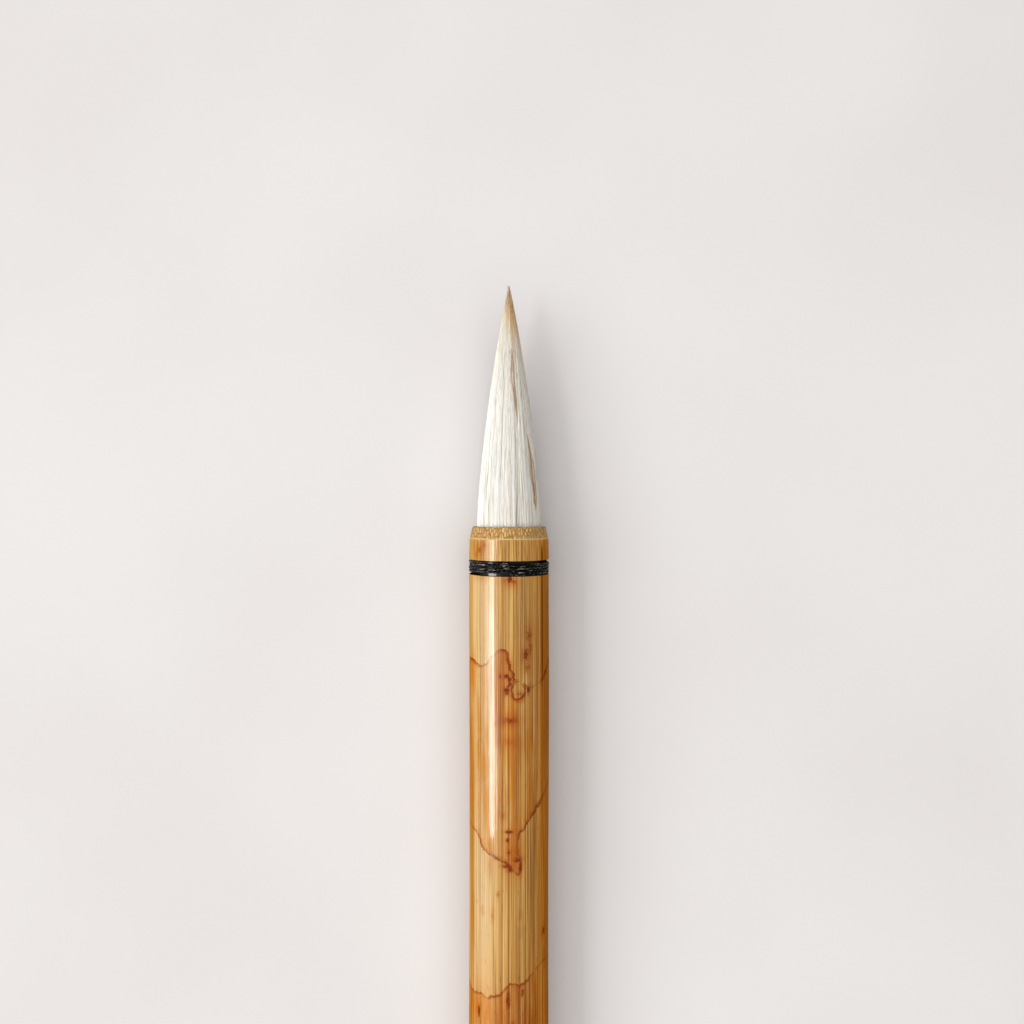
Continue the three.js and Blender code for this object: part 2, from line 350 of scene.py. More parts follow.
def stained(look, colour):
    """Amber stains with dark rims, and dark marks and fibres, on a colour.

    Where the photograph doesn't reach, the stains come from a noise instead of the fields.
    """
    wobble = look.math("MULTIPLY", look.math("SUBTRACT", look.noise(0.7, 0.9, 3), 0.5), 0.9)
    away = look.math("ADD", look.field("stain_distance"), wobble)
    inside = look.between(away, 0.1, -0.1)
    wild = look.noise(5.5, 17, 3, 0.45, 0.6)
    wild_inside = look.math("MULTIPLY", look.between(wild, 0.545, 0.552), look.field("unseen"))
    patch = look.between(look.noise(1.5, 8, 3), 0.36, 0.64, 0.3, 1.0)
    amber = look.math("MULTIPLY", look.math("MAXIMUM", inside, wild_inside), patch)
    amber = look.math("MAXIMUM", look.math("MULTIPLY", amber, 0.85), look.field("amber"))
    colour = look.mix(amber, colour, srgb(238, 188, 94), "MULTIPLY")

    broken = look.between(look.noise(0.5, 0.8, 3), 0.3, 0.6, 0.4, 1.0)
    strength = look.math("MULTIPLY", look.field("stain_rim"), broken)
    outer = look.between(away, 0.12, 0.02)
    shade = look.math("MULTIPLY", look.math("MULTIPLY", look.between(away, -0.8, 0.0), outer), strength)
    edge = look.math("MULTIPLY", look.math("MULTIPLY", look.between(away, -0.38, -0.1), outer), strength)
    wild_rim = look.math("MULTIPLY", look.between(wild, 0.572, 0.55), wild_inside)
    wild_rim = look.math("MULTIPLY", wild_rim, look.between(look.noise(3, 5, 2), 0.4, 0.6))
    ragged = look.between(look.noise(0.3, 0.4, 3), 0.25, 0.6, 0.6, 1.4)
    marks = look.math("MULTIPLY", look.field("marks"), ragged, True)
    halo = look.math("MAXIMUM", look.math("POWER", marks, 0.5), look.math("MAXIMUM", shade, wild_rim))
    colour = look.mix(halo, colour, srgb(232, 160, 48), "MULTIPLY")
    dark_mark = look.between(marks, 0.18, 0.7, 0.0, 0.95)
    core = look.math("MAXIMUM", look.math("MULTIPLY", edge, 0.9), dark_mark)
    colour = look.mix(core, colour, srgb(114, 42, 0))
    return look.mix(look.field("fibre"), colour, srgb(98, 40, 2))


def cut_open(look, colour, cell_walls):
    """The colours of the cut at the mouth, the inside of the tube and the groove, on the skin's colour."""
    grain = look.mix(look.between(cell_walls, 0.02, 0.2), srgb(150, 106, 50), srgb(216, 182, 126))
    cloud = look.between(look.noise(0.9, 1.2, 2), 0.4, 0.62, 0.0, 0.6)
    grain = look.mix(cloud, grain, srgb(186, 140, 80))
    colour = look.mix(look.field("cut"), colour, grain)
    colour = look.mix(look.field("cut_edge"), colour, srgb(238, 204, 146))
    wall = look.mix(look.noise(0.3, 6, 2), srgb(203, 170, 118), srgb(158, 118, 70))
    colour = look.mix(look.field("inner"), colour, wall)
    # The groove's floor is near black under the thread: it stands for lower turns of the black thread, and
    # in part it is painted shade under the turns.
    return look.mix(look.field("groove"), colour, srgb(14, 12, 11))


def bamboo_look():
    look = Look("varnished_bamboo", Coat_Roughness=0.05, Coat_IOR=1.5)
    strands = look.noise(0.34, 44, 3, 0.65)
    hairline = look.noise(0.13, 26, 2, 0.6)
    cell_walls = look.cells(0.3, 0.95, "DISTANCE_TO_EDGE")
    colour = cut_open(look, stained(look, fibrous(look, strands, hairline)), cell_walls)

    bare = look.math("MAXIMUM", look.field("cut"), look.field("inner"))
    varnished = look.math("SUBTRACT", 1.0, bare)
    facing = look.tree.nodes.new("ShaderNodeLayerWeight").outputs["Facing"]
    shine = look.math("MULTIPLY", look.between(facing, 0.14, 0.42, 1.0, 0.0), varnished)
    split = look.between(look.noise(0.13, 90, 1), 0.36, 0.44, 0.2, 1.0)
    specular = look.math("ADD", shine, look.math("MULTIPLY", bare, 0.6))
    rough = look.between(strands, 0.3, 0.7, 0.28, 0.4)
    relief = look.math("ADD", look.math("MULTIPLY", hairline, 0.5), look.math("MULTIPLY", strands, 0.8))
    relief = look.bump(look.math("MULTIPLY", relief, varnished), 0.03)
    cell_relief = look.math("MULTIPLY", look.between(cell_walls, 0.0, 0.3), look.field("cut"))
    coat_relief = look.math("MULTIPLY", look.noise(0.17, 40, 2), varnished)
    return look.finish(
        Base_Color=colour,
        Roughness=look.math("MAXIMUM", rough, look.math("MULTIPLY", bare, 0.75)),
        Normal=look.bump(cell_relief, 0.07, relief),
        Coat_Normal=look.bump(coat_relief, 0.008),
        Coat_Weight=look.math("MULTIPLY", shine, split),
        Specular_IOR_Level=look.math("MULTIPLY", specular, 0.22),
    )


def refined(outline, rng):
    """A stain's outline in unrolled mm, (round, along, rim), its corners rounded and a little ragged."""
    points = np.array([(math.radians(d) * TUBE_RADIUS, -b, s) for d, b, s in outline])
    for _ in range(2):
        after = np.roll(points, -1, axis=0)
        points = np.stack([points * 0.75 + after * 0.25, points * 0.25 + after * 0.75], 1).reshape(-1, 3)
    points[:, :2] += rng.normal(0, 0.035, (len(points), 2))
    return points


def outline_field(outline, round_mm, y, rng):
    """Signed distance to an outline, negative inside, and how dark its rim is there."""
    start = refined(outline, rng)
    end = np.roll(start, -1, axis=0)
    inside = np.zeros(y.shape, bool)
    closest = np.full(y.shape, 1e9)
    rim = np.zeros(y.shape)
    for (x0, y0, s0), (x1, y1, s1) in zip(start, end):
        dx, dy = x1 - x0, y1 - y0
        t = ((round_mm - x0) * dx + (y - y0) * dy) / (dx * dx + dy * dy + 1e-9)
        t = np.clip(t, 0, 1)
        distance = np.hypot(round_mm - x0 - t * dx, y - y0 - t * dy)
        nearer = distance < closest
        closest = np.where(nearer, distance, closest)
        rim = np.where(nearer, s0 + (s1 - s0) * t, rim)
        if y0 != y1:
            crosses = (y0 > y) != (y1 > y)
            inside ^= crosses & (round_mm < dx * (y - y0) / dy + x0)
    return np.where(inside, -closest, closest), rim


def stain_fields(round_mm, y, rng):
    """Signed distance to the nearest stain's outline, negative inside, and its rim's darkness."""
    nearest = np.full(y.shape, 9.0)
    rim = np.zeros(y.shape)
    for outline in STAINS:
        signed, dark = outline_field(outline, round_mm, y, rng)
        rim = np.where(signed < nearest, dark, rim)
        nearest = np.minimum(nearest, signed)
    island, dark = outline_field(PALE_ISLAND, round_mm, y, rng)
    rim = np.where(-island > nearest, dark, rim)
    return np.maximum(nearest, -island), rim


def spots(listed, degrees, y):
    """Soft spots, as a field."""
    total = np.zeros(y.shape)
    for at, behind, across, along, strength in listed:
        u = np.radians(degrees - at) * TUBE_RADIUS / across
        v = (y + behind) / along
        total = np.maximum(total, strength * np.exp(-0.5 * (u * u + v * v)))
    return total


def fibres(degrees, y, rng):
    """The dark fibres, as a field. Each one sways a little along its length."""
    total = np.zeros(y.shape)
    for at, half, start, stop, strength in FIBRES:
        sway = at + 0.5 * np.sin(y / 9 + rng.uniform(0, math.tau))
        across = np.radians(degrees - sway) * TUBE_RADIUS / half
        within = smooth(-y, start, start + 1.5) * smooth(-y, stop, stop - 6)
        total = np.maximum(total, strength * within * np.exp(-0.5 * across * across))
    return total


def tube_profile():
    """The tube's section, as (mm ahead of the mouth, radius), round from the bore at the tail.

    Its rows are closest together where the marks and the ends need detail.
    """
    stained_from, marked_from = -80.0, -46.5
    skin, edge, groove = TUBE_RADIUS, TUBE_RADIUS - GROOVE_EDGE, GROOVE_RADIUS
    return (
        rows_through([(TAIL, BORE_RADIUS), (TAIL, skin - 0.5)], 0.5)
        + rows_through([(TAIL + 0.15, skin - 0.15), (TAIL + 0.5, skin)], 0.3)
        + rows_through([(TAIL + 1.5, skin), (stained_from, skin)], 1.6)
        + rows_through([(stained_from + 0.6, skin), (marked_from, skin)], 0.6)
        + rows_through([(marked_from + 0.27, skin), (GROOVE_BACK - GROOVE_EDGE, skin)], 0.27)
        + rows_through([(GROOVE_BACK - 0.01, edge), (GROOVE_BACK, groove)], 0.2)
        + rows_through([(GROOVE_BACK + 0.3, groove), (GROOVE_FRONT, groove)], 0.4)
        + rows_through([(GROOVE_FRONT + 0.01, edge), (GROOVE_FRONT + GROOVE_EDGE, skin)], 0.2)
        + rows_through([(GROOVE_FRONT + 0.4, skin), (-CUT_LENGTH - 0.1, SKIN_EDGE_RADIUS + 0.03)], 0.3)
        + [(-CUT_LENGTH, SKIN_EDGE_RADIUS), (-CUT_LENGTH + 0.03, SKIN_EDGE_RADIUS - 0.05)]
        + rows_through([(-CUT_LENGTH + 0.12, SKIN_EDGE_RADIUS - 0.07), (-0.12, MOUTH_RADIUS)], 0.12)
        + [(-0.03, MOUTH_RADIUS - 0.06), (0.0, MOUTH_RADIUS - 0.16)]
        + rows_through([(0.0, SOCKET_RADIUS + 0.25), (-0.15, SOCKET_RADIUS)], 0.15)
        + rows_through([(-1.0, SOCKET_RADIUS), (-SOCKET_DEPTH, SOCKET_RADIUS)], 1.4)
        + rows_through([(-SOCKET_DEPTH, SOCKET_RADIUS - 0.5), (-SOCKET_DEPTH, BORE_RADIUS)], 0.7)
        + rows_through([(-SOCKET_DEPTH - 2, BORE_RADIUS), (TAIL + 2, BORE_RADIUS)], 12)
    )


def skin_fields(degrees, y, rng):
    """The stains, marks and fibres on the tube's skin."""
    distance, rim = stain_fields(np.radians(degrees) * TUBE_RADIUS, y, rng)
    seen = smooth(np.abs(degrees), 96, 78) * smooth(-y, 84, 78)
    amber_side = 0.8 * smooth(degrees, 14, 60) * smooth(degrees, 130, 80)
    # Where the painted glare goes: the left side, which faces the lamps.
    glare_side = 0.65 * smooth(degrees, -66, -54) * smooth(degrees, -14, -36)
    return {
        "stain_distance": distance + 6 * (1 - smooth(np.abs(degrees), 94, 84)),
        "stain_rim": rim,
        "marks": spots(MARKS, degrees, y),
        "amber": np.maximum(spots(AMBER, degrees, y), amber_side),
        "fibre": fibres(degrees, y, rng),
        "pale": glare_side * smooth(-y, 6, 8),
        "unseen": (1 - seen) * smooth(-y, 9, 14),
    }


def bamboo_handle():
    rng = np.random.default_rng(11)
    y, radius = np.array(tube_profile()).T[:, :, None]
    degrees = (np.arange(TUBE_COLUMNS) * 360 / TUBE_COLUMNS)[None, :]
    degrees = (degrees + 180) % 360 - 180
    is_skin = (radius > SKIN_EDGE_RADIUS - 0.02) & (y < -CUT_LENGTH + 0.01)
    is_inner = (radius <= SOCKET_RADIUS + 0.01) & (y > TAIL + 0.01)
    is_cut = ~is_skin & ~is_inner & (radius > BORE_RADIUS)
    is_groove = (y > GROOVE_BACK - 0.02) & (y < GROOVE_FRONT + 0.02)
    full = np.ones((1, TUBE_COLUMNS))
    y, radius, degrees = y * full, radius * full, degrees * np.ones_like(y)

    sag = 0.05 * ripple(rng, degrees, y, 5, 2, 90)
    flutes = 0.003 * ripple(rng, degrees, y, 9, 26, 300) + 0.003 * ripple(rng, degrees, y, 8, 74, 260)
    radius = radius + np.where(is_skin & ~is_groove, sag * smooth(-y, 8, 30) + flutes, 0)
    nibble = 0.05 * ripple(rng, degrees, y * 0, 10, 60, 50)
    y = y + nibble * np.exp(-(((y + CUT_LENGTH) / 0.12) ** 2)) * is_cut
    chips = 0.022 * ripple(rng, degrees, y, 10, 58, 1.4)
    radius = radius + np.where(is_cut & (y > -CUT_LENGTH) & (y < 0), chips, 0)

    fields = skin_fields(degrees, y, rng)
    fields["cut"] = is_cut & ((y > -CUT_LENGTH - 0.02) | (y < TAIL + 0.2))
    fields["cut_edge"] = 0.85 * np.exp(-(((y + CUT_LENGTH) / 0.07) ** 2)) * (radius > 5.2)
    fields["inner"] = is_inner * full
    fields["groove"] = is_groove * full
    return lattice("bamboo_handle", on_tube(radius, y, degrees), bamboo_look(), True, fields)


def helix(radius, pitch, turns, centre, steps):
    """Points round the axis, with the angle in radians at each."""
    turn = np.linspace(-turns / 2, turns / 2, steps)
    angle = turn * math.tau
    return on_tube(radius, centre + pitch * turn, np.degrees(angle)), angle


def tubes(paths, thickness, sides, outward):
    """Vertices and faces of closed tubes along (count, steps, 3) paths."""
    count, steps = paths.shape[:2]
    along = np.gradient(paths, axis=1)
    along /= np.linalg.norm(along, axis=-1, keepdims=True) + 1e-9
    aside = np.cross(along, outward)
    aside /= np.linalg.norm(aside, axis=-1, keepdims=True) + 1e-9
    up = np.cross(aside, along)
    turn = (np.arange(sides) + 0.25) * math.tau / sides
    spoke = np.cos(turn)[:, None] * up[:, :, None] + np.sin(turn)[:, None] * aside[:, :, None]
    points = paths[:, :, None] + thickness[:, :, None, None] * spoke
    tube, step, side = np.meshgrid(
        np.arange(count), np.arange(steps - 1), np.arange(sides), indexing="ij"
    )
    corners = [(step, side), (step, side + 1), (step + 1, side + 1), (step + 1, side)]
    base = tube * steps * sides
    faces = np.stack([base + i * sides + j % sides for i, j in corners][::-1], -1).reshape(-1, 4)
    layout = [np.stack([(tube + 0.9 * j / sides) / count, i / (steps - 1)], -1) for i, j in corners]
    uv = np.stack(layout[::-1], -2)
    ring = np.arange(sides)
    first = (np.arange(count) * steps * sides)[:, None] + ring
    last = first + (steps - 1) * sides
    caps = first.tolist() + last[:, ::-1].tolist()
    where = (np.arange(count) + 0.45) / count
    cap_uv = [np.stack([where, where * 0 + end], -1).repeat(sides, axis=0) for end in (0.001, 0.999)]
    uv = np.concatenate([uv.reshape(-1, 2), *cap_uv])
    return points.reshape(-1, 3), faces.tolist() + caps, uv


def twisted_thread(name, rng, material, radius, pitch, turns, centre, diameter, plies, twist):
    """Plied thread wound round the brush. Its ends are tucked in under the turns.

    The plies go round each other once in every twist mm.
    """
    steps = int(turns * math.tau * radius / twist * 9)
    middle, angle = helix(radius, pitch, turns, centre, steps)
    wander = 0.045 * ripple(rng, np.degrees(angle), middle[:, 1], 7, 11, 0.5)
    lift = 0.035 * ripple(rng, np.degrees(angle), middle[:, 1], 7, 17, 0.6)
    tuck = 0.25 * (1 - smooth(np.abs(angle) - angle[-1], 0, -0.35))
    outward = on_tube(1.0, 0, np.degrees(angle))
    middle = middle + outward * (lift - tuck)[:, None]
    middle[:, 1] += wander
    reach = diameter * 0.25
    paths = []
    for ply in range(plies):
        phase = angle * radius / twist * math.tau + ply * math.tau / plies
        path = middle + outward * (reach * np.cos(phase))[:, None]
        path[:, 1] += reach * np.sin(phase)
        paths.append(path)
    paths = np.array(paths)
    swell = ripple(rng, np.degrees(angle), middle[:, 1], 6, 23, 0.7)
    thickness = np.broadcast_to(diameter * (0.31 + 0.035 * swell), paths.shape[:2])
    points, faces, uv = tubes(paths, thickness, 6, np.broadcast_to(outward, paths.shape))
    return new_object(name, points, faces, uv, material)


def thread_look(name, dark, light, fuzz, shine, painted_glint=0.0):
    """Twisted thread: fuzz is its roughness, shine its polish, and the last value how pale the painted
    highlights in its colour are.
    """
    look = Look(name, Specular_IOR_Level=0.14, Coat_Weight=shine, Coat_Roughness=0.12)
    fine = look.noise(0.09, 0.09, 2)
    colour = look.mix(look.between(fine, 0.35, 0.7), dark, light)
    # Painted highlights: short pale glints painted into the colour where the thread would catch the light.
    glint = look.between(look.noise(1.0, 0.11, 2), 0.6, 0.67, 0.0, painted_glint)
    colour = look.mix(glint, colour, srgb(190, 186, 172))
    rough = look.between(fine, 0.3, 0.7, fuzz - 0.12, fuzz + 0.12)
    return look.finish(Base_Color=colour, Roughness=rough, Normal=look.bump(fine, 0.03))


def tuft_radius(t, radius=TUFT_RADIUS):
    return radius * (1 - np.clip(t, 0, 1) ** TAPER_START) ** TAPER_END


def hair_look(name, light, dark):
    """Hair from light to dark, gold and then burnt towards the point, and brown in the locks."""
    look = Look(name, Sheen_Weight=0.5, Sheen_Roughness=0.5, Specular_IOR_Level=0.3)
    fine = look.noise(0.12, 3.0, 2)
    grey = look.math("MULTIPLY", look.math("SUBTRACT", look.noise(0.2, 14.0, 2), 0.5), 0.7)
    dark_hair = look.between(look.noise(0.15, 16.0, 1), 0.58, 0.68, 0.0, 0.34)
    tint = look.math("ADD", look.math("ADD", look.field("tint"), grey), dark_hair, True)
    colour = look.mix(tint, light, dark)
    gold = look.between(look.field("amber"), 0.0, 0.8)
    colour = look.mix(look.math("MULTIPLY", gold, 0.85), colour, srgb(228, 188, 124))
    streak = look.between(look.noise(0.16, 5.0, 2), 0.4, 0.62, 0.25, 1.0)
    burnt = look.math("MULTIPLY", look.between(look.field("amber"), 0.5, 1.2), streak)
    colour = look.mix(burnt, colour, srgb(178, 124, 62))
    colour = look.mix(look.field("brown"), colour, srgb(166, 118, 50))
    rough = look.between(fine, 0.3, 0.7, 0.42, 0.62)
    return look.finish(Base_Color=colour, Roughness=rough, Normal=look.bump(fine, 0.02))


def lay_hairs(rng, count, clumps, steps, outline, root, ends, depth, ridge, gather):
    """Centre lines of hairs lying in clumps under a tapering outline.

    Root and ends are distances along the tuft, from 0 at the mouth to 1 at the tip. The coat is depth
    mm deep, its clumps stand up by ridge mm, and gather says how far they draw together. Gives the
    paths in mm, their distances along the tuft, their clumps, and each point's angle in degrees.
    """
    clump = np.sort(rng.integers(0, clumps, count))
    spacing = 360 / clumps
    middle = (np.arange(clumps) + rng.uniform(-0.45, 0.45, clumps)) * spacing
    aside = np.clip(rng.normal(0, 0.38, count) * rng.uniform(0.6, 1.5, clumps)[clump], -1.2, 1.2)
    t = root + (ends - root)[:, None] * np.linspace(0, 1, steps) ** 0.9
    tight = rng.uniform(*gather, clumps)[clump][:, None]
    knot = rng.uniform(0.35, 0.9, clumps)[clump][:, None]
    width = 1 - tight * np.exp(-(((t - knot) / 0.35) ** 2))
    phase = rng.uniform(0, math.tau, (2, clumps))[:, clump, None]
    sway = np.sin(t * 6 + phase[0]) * 1.2 + np.sin(t * 15 + phase[1]) * 0.6
    sway = sway * (1 + 1.6 * np.clip(t, 0, 1)) * rng.uniform(0.3, 1.4, clumps)[clump][:, None]
    own = rng.uniform(0, math.tau, (count, 1))
    frizz = np.sin(t * rng.uniform(9, 22, (count, 1)) + own) * rng.uniform(0.05, 0.6, (count, 1))
    loose = np.where(rng.random((count, 1)) < 0.12, 3.0, 1.0)
    splay = rng.normal(0, 3.2, (count, 1)) * loose * np.clip(t, -0.1, 1)
    degrees = middle[clump][:, None] + spacing * aside[:, None] * width + sway + frizz + splay
    lift = rng.uniform(-0.5, 0.5, clumps)[clump][:, None] * ridge
    down = ridge * (1.6 * aside[:, None]) ** 2 + depth * rng.random((count, 1)) ** 1.5
    full = outline(t)
    radius = full - (down - lift) * (full / full[:, :1]) ** 0.7
    return on_tube(np.maximum(radius, 0.02), t * TUFT_LENGTH, degrees), t, clump, degrees


def hair_object(name, paths, thickness, fields, material):
    """Hairs as tubes of HAIR_SIDES sides along their centre lines."""
    outward = paths.copy()
    outward[..., 1] = 0
    outward /= np.linalg.norm(outward, axis=-1, keepdims=True) + 1e-9
    points, faces, uv = tubes(paths, thickness, HAIR_SIDES, outward)
    each = {field: np.repeat(values.reshape(-1), HAIR_SIDES) for field, values in fields.items()}
    return new_object(name, points, faces, uv, material, each)


def hair_thickness(t, ends, root, widest):
    """Half thickness in mm: full along the hair, tapering over its last third."""
    run = (t - root) / (ends[:, None] - root)
    return widest * np.clip((1 - run) / 0.34, 0.12, 1) ** 0.6


def point_amber(t, wander=0.0):
    """How far the hair's colour has turned amber towards the tip."""
    return smooth(t + wander, 0.72, 0.98) * 1.2


def cover_strands(name, material, seed):
    """Half of the white coat. It is greyer to the right as painted shade on the side away from the lamps,
    over clumps of random tone, and turns amber sooner there.
    """
    rng = np.random.default_rng(seed)
    count, clumps, root = 1900, 58, -0.17
    ends = 1 - 0.5 * rng.beta(0.9, 5.0, count)
    paths, t, clump, degrees = lay_hairs(
        rng, count, clumps, steps=15, outline=tuft_radius, root=root, ends=ends,
        depth=0.4, ridge=0.15, gather=(0.05, 0.6),
    )
    side = (degrees + 180) % 360 - 180
    shade = rng.beta(0.9, 3.0, clumps)[clump][:, None] + rng.normal(0, 0.12, (count, 1))
    wander = rng.normal(0, 0.045, clumps)[clump][:, None] + rng.normal(0, 0.03, (count, 1))
    # Painted shade: the hairs' colour darkens towards the right, the side away from the lamps.
    tint = 0.04 + shade * (0.4 + 0.5 * smooth(side, -40, 70))
    fields = {
        "tint": tint + 0.3 * smooth(side, 10, 80) + 0.25 * smooth(t, 0.35, 0.8),
        "amber": point_amber(t, wander - 0.06 * smooth(-side, 0, 60) + 0.03 * smooth(side, 0, 50)),
        "brown": np.zeros_like(t),
    }
    widest = 0.05 + 0.02 * rng.random((count, 1))
    return hair_object(name, paths, hair_thickness(t, ends, root, widest), fields, material)


# Brown hairs in the white coat, as (distance along from 0 at the mouth to 1 at the tip, degrees round).
BROWN_LOCKS = [
    [(0.74, 11), (0.69, 11), (0.65, 11), (0.59, 13.5), (0.51, 17), (0.40, 21)],
    [(0.40, 45), (0.31, 49), (0.25, 53), (0.17, 56), (0.10, 56.5), (0.05, 56)],
]


def brown_locks(material):
    """Brown hairs along the locks, thin and wavy, so that they mix with the white ones."""
    rng = np.random.default_rng(5)
    steps, hairs = 18, 18
    paths, along, brown = [], [], []
    for lock in BROWN_LOCKS:
        at, angle = np.array(lock).T
        run = np.linspace(0, 1, steps)
        t = np.interp(run, np.linspace(0, 1, len(at)), at)
        degrees = np.interp(run, np.linspace(0, 1, len(at)), angle)
        for _ in range(hairs):
            spread = rng.normal(0, 4.2) * np.sin(run * math.pi) ** 1.5
            aside = spread + 1.3 * np.sin(run * 8) + 0.8 * np.sin(run * 17 + rng.uniform(0, 3))
            radius = tuft_radius(t) + rng.uniform(-0.03, 0.1) - 0.14 * (np.abs(run - 0.5) * 2) ** 10
            paths.append(on_tube(radius, t * TUFT_LENGTH, degrees + aside))
            along.append(t)
            brown.append(np.clip(1.4 * np.sin(run * math.pi) ** 0.5, 0, 1) * rng.uniform(0.65, 1))
    paths, along, brown = np.array(paths), np.array(along), np.array(brown)
    thickness = 0.052 * np.clip(brown, 0.3, 1)
    fields = {"tint": along * 0 + 0.5, "amber": along * 0, "brown": brown}
    return hair_object("brown_hairs", paths, thickness, fields, material)


# Hairs that curl off the very point: (mm aside, mm past the tip), and how far behind the tip they start.
WISPS = [(-1.7, 1.3), (-0.9, 0.9), (0.25, 0.5)]
WISP_ROOT = 1.2


def stray_hairs(material):
    """A few hairs that leave the outline, mostly at the point."""
    rng = np.random.default_rng(8)
    count, steps, at_the_point = 22, 14, 8
    ends = np.where(np.arange(count) < at_the_point, 1.0, rng.uniform(0.45, 0.98, count))
    t = ends[:, None] * (0.72 + 0.28 * np.linspace(0, 1, steps))
    run = np.linspace(0, 1, steps)
    degrees = rng.uniform(-180, 180, (count, 1)) + rng.normal(0, 5, (count, 1)) * run
    lift = rng.uniform(0.05, 0.32, (count, 1)) * run**2
    paths = on_tube(tuft_radius(t) - 0.05 + lift, t * TUFT_LENGTH, degrees)
    for hair, (aside, ahead) in enumerate(WISPS):
        y = TUFT_LENGTH - WISP_ROOT + (ahead + WISP_ROOT) * run
        paths[hair] = np.stack([aside * run**2, y, 0.2 + 0 * run], -1)
        t[hair] = 0.9
    thickness = np.broadcast_to(0.028 * np.clip(1.1 - run, 0.12, 1), t.shape)
    fields = {"tint": t * 0 + 0.25, "amber": point_amber(t), "brown": t * 0}
    return hair_object("stray_hairs", paths, thickness, fields, material)


def hair_body(name, material, seed, radius, start, stop):
    """The mass of hair under the outer strands, fluted where hairs gather."""
    rng = np.random.default_rng(seed)
    columns, rows = 132, 46
    t = np.linspace(start, stop, rows)[:, None]
    degrees = (np.arange(columns) * 360 / columns)[None, :]
    flutes = ripple(rng, degrees, t * TUFT_LENGTH, 9, 44, 60)
    full = tuft_radius(t, radius)
    shape = np.maximum(full * (1 + 0.03 * flutes), 0.03)
    y = t * TUFT_LENGTH + degrees * 0
    grown = np.broadcast_to(t, shape.shape)
    fields = {"tint": 0.7 + 0.2 * flutes, "amber": point_amber(grown), "brown": shape * 0}
    return lattice(name, on_tube(shape, y, degrees), material, False, fields)


def inner_strands(name, material, seed, count, clumps, radius, root, reach):
    """Hairs inside the tuft, under an outline of that radius that ends at reach."""
    rng = np.random.default_rng(seed)
    ends = reach * (1 - 0.25 * rng.beta(1, 3, count))
    paths, t, clump, _ = lay_hairs(
        rng, count, clumps, steps=10, outline=lambda t: tuft_radius(t / reach, radius), root=root,
        ends=ends, depth=0.3, ridge=0.1, gather=(0.1, 0.5),
    )
    shade = rng.beta(2, 2, clumps)[clump][:, None] + t * 0
    fields = {"tint": shade, "amber": point_amber(t), "brown": t * 0}
    thickness = hair_thickness(t, ends, root, np.full((count, 1), 0.06))
    return hair_object(name, paths, thickness, fields, material)


def turned_piece(name, corners, material, gap, columns, ring, roughen, seed, sharp=40):
    """A solid of revolution with a slightly uneven surface, from its (y, radius) corners in mm."""
    rng = np.random.default_rng(seed)
    y, radius = np.array(rows_through(corners, gap)[: -1 if ring else None]).T[:, :, None]
    degrees = (np.arange(columns) * 360 / columns)[None, :]
    uneven = roughen * ripple(rng, degrees, y * 1.0, 9, 11, 2.5)
    depth = roughen * ripple(rng, degrees, radius * 1.0, 7, 9, 2.5)
    return lattice(name, on_tube(radius + uneven, y + depth, degrees), material, ring, sharp=sharp)


def wood_look():
    look = Look("turned_wood", Coat_Weight=0.12, Coat_Roughness=0.25, Specular_IOR_Level=0.25)
    figure = look.noise(0.9, 7, 4, 0.6, 0.4)
    pores = look.noise(0.11, 1.8, 2)
    colour = look.mix(look.between(figure, 0.35, 0.65), srgb(192, 142, 78), srgb(146, 98, 48))
    colour = look.mix(look.between(pores, 0.6, 0.72, 0.0, 0.6), colour, srgb(74, 42, 20))
    rings = look.noise(30, 0.16, 2)
    rough = look.between(figure, 0.3, 0.7, 0.48, 0.64)
    relief = look.math("ADD", look.math("MULTIPLY", rings, 0.5), look.math("MULTIPLY", pores, -0.6))
    return look.finish(Base_Color=colour, Roughness=rough, Normal=look.bump(relief, 0.05))


def resin_look():
    look = Look("amber_resin", Coat_Weight=0.6, Coat_Roughness=0.08, Transmission_Weight=0.15)
    cloud = look.noise(1.2, 1.2, 4)
    colour = look.mix(look.between(cloud, 0.3, 0.7), srgb(150, 84, 28), srgb(84, 36, 12))
    rough = look.between(look.noise(0.4, 0.4, 3), 0.3, 0.7, 0.1, 0.35)
    return look.finish(Base_Color=colour, Roughness=rough, Normal=look.bump(cloud, 0.12))


def glue_look():
    look = Look("hard_glue", Specular_IOR_Level=0.5)
    cloud = look.noise(0.6, 0.9, 4)
    colour = look.mix(look.between(cloud, 0.3, 0.7), srgb(232, 216, 172), srgb(196, 168, 112))
    rough = look.between(cloud, 0.3, 0.7, 0.28, 0.5)
    return look.finish(Base_Color=colour, Roughness=rough, Normal=look.bump(cloud, 0.08))


def tail_plug():
    """The plug's section runs from its hole over the domed head and down the stem in the bore."""
    seat = TAIL - 0.2
    end = (PLUG_LOW.y - TUBE_HIGH.y) / MM
    hole, stem, head, face = 0.75, 2.2, 4.2, 2.6
    stem_end = seat + 10
    dome_steps = 12
    dome = []
    for i in range(dome_steps + 1):
        turn = i / dome_steps * math.pi / 2
        dome.append((seat + (end - seat) * math.cos(turn), face + (head - face) * math.sin(turn)))
    corners = [
        (end + 0.15, hole), (end, hole + 0.15), *dome, (seat, head - 0.15), (seat, stem),
        (stem_end - 0.2, stem), (stem_end, stem - 0.2), (stem_end, hole), (end + 0.15, hole),
    ]
    return turned_piece(
        "turned_plug", corners, wood_look(), gap=0.35, columns=112, ring=True, roughen=0.006, seed=21
    )


def wound_thread():
    rng = np.random.default_rng(3)
    black = thread_look("black_thread", srgb(4, 4, 3), srgb(12, 10, 6), fuzz=0.45, shine=0.26, painted_glint=0.6)
    return twisted_thread(
        "wound_thread", rng, black, radius=5.33, pitch=0.4, turns=4, centre=-THREAD_CENTRE,
        diameter=0.4, plies=2, twist=1.3,
    )


